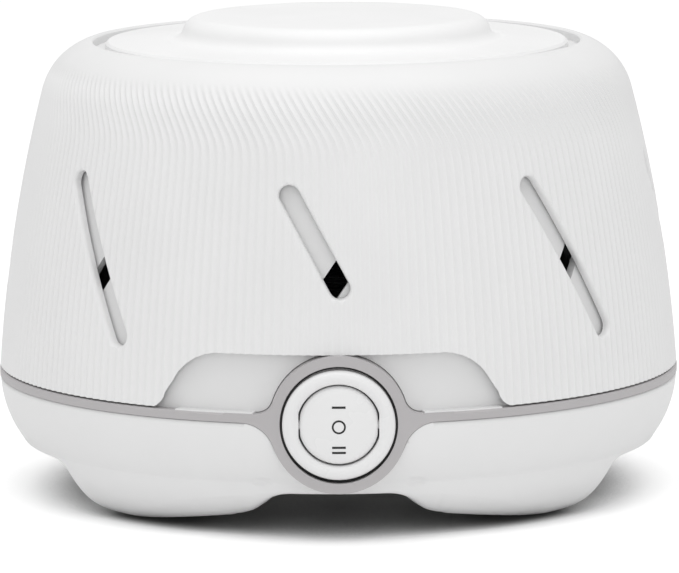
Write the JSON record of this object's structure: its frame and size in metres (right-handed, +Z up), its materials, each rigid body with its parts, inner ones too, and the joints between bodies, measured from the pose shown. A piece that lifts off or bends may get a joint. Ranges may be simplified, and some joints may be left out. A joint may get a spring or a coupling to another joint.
{
  "type": "sound machine",
  "caption": "Round mechanical sound machine: a ribbed slotted shell turns over a slotted drum with a fan inside, on a low bowl with a rocker switch.",
  "frame": {"origin": "on the ground under the fan's axis", "axes": "+Z up along the fan's axis, the switch faces -Y, the cord inlet faces +Y"},
  "size_m": [0.1466, 0.1498, 0.1025],
  "materials": {
    "shell_plastic": "fine satin",
    "drum_plastic": "satin",
    "lid_plastic": "smooth satin",
    "band_plastic": "satin",
    "shutter_plastic": "satin",
    "switch_white": "fine gloss",
    "black_rubber": "matt",
    "grey_rubber": "matt",
    "terminal_brass": "plated",
    "screw_steel": "zinc plated",
    "plate_steel": "zinc plated",
    "lamination_steel": "stacked sheet",
    "copper": "varnished",
    "bobbin_plastic": "natural",
    "cast_alloy": "as cast",
    "bush_bronze": "sintered",
    "shaft_steel": "ground",
    "washer_plastic": "natural",
    "fan_plastic": "moulded"
  },
  "bodies": {
    "base": {"base_shell": "shell_plastic", "foot_pads": "grey_rubber", "base_screws": "screw_steel", "trim_band": "band_plastic", "inner_drum": "drum_plastic", "retainer_ring": "lid_plastic", "ring_screws": "screw_steel", "switch_housing": "switch_white", "switch_terminals": "terminal_brass", "cord_grommet": "black_rubber", "motor_plate": "plate_steel", "rubber_mounts": "black_rubber", "mount_screws": "screw_steel", "stator_core": "lamination_steel", "shading_rings": "copper", "coil_bobbin": "bobbin_plastic", "coil_winding": "copper", "lower_bracket": "cast_alloy", "upper_bracket": "cast_alloy", "bearing_bushes": "bush_bronze", "motor_bolts": "screw_steel", "motor_nuts": "screw_steel"},
    "shell": {"tone_shell": "shell_plastic"},
    "cap": {"top_cap": "lid_plastic", "vent_shutter": "shutter_plastic", "cap_washer": "screw_steel", "cap_screw": "screw_steel"},
    "rocker": {"rocker": "switch_white"},
    "rotor": {"rotor_core": "lamination_steel", "rotor_end_rings": "cast_alloy", "motor_shaft": "shaft_steel", "thrust_washers": "washer_plastic", "fan_wheel": "fan_plastic", "fan_clip": "screw_steel"}
  },
  "joints": [
    {"name": "shell_turn", "type": "hinge", "parent": "base", "child": "shell", "pos_m": [0, 0, 0.027], "axis": [0, 0, 1], "range_deg": [-15, 17.6]},
    {"name": "cap_turn", "type": "hinge", "parent": "base", "child": "cap", "pos_m": [0, 0, 0.0965], "axis": [0, 0, 1], "range_deg": [0, 22.5]},
    {"name": "rocker_tip", "type": "hinge", "parent": "base", "child": "rocker", "pos_m": [0, -0.072, 0.025], "axis": [1, 0, 0], "range_deg": [-9, 9]},
    {"name": "rotor_spin", "type": "hinge", "parent": "base", "child": "rotor", "pos_m": [0, 0, 0.046], "axis": [0, 0, 1], "continuous": true}
  ]
}
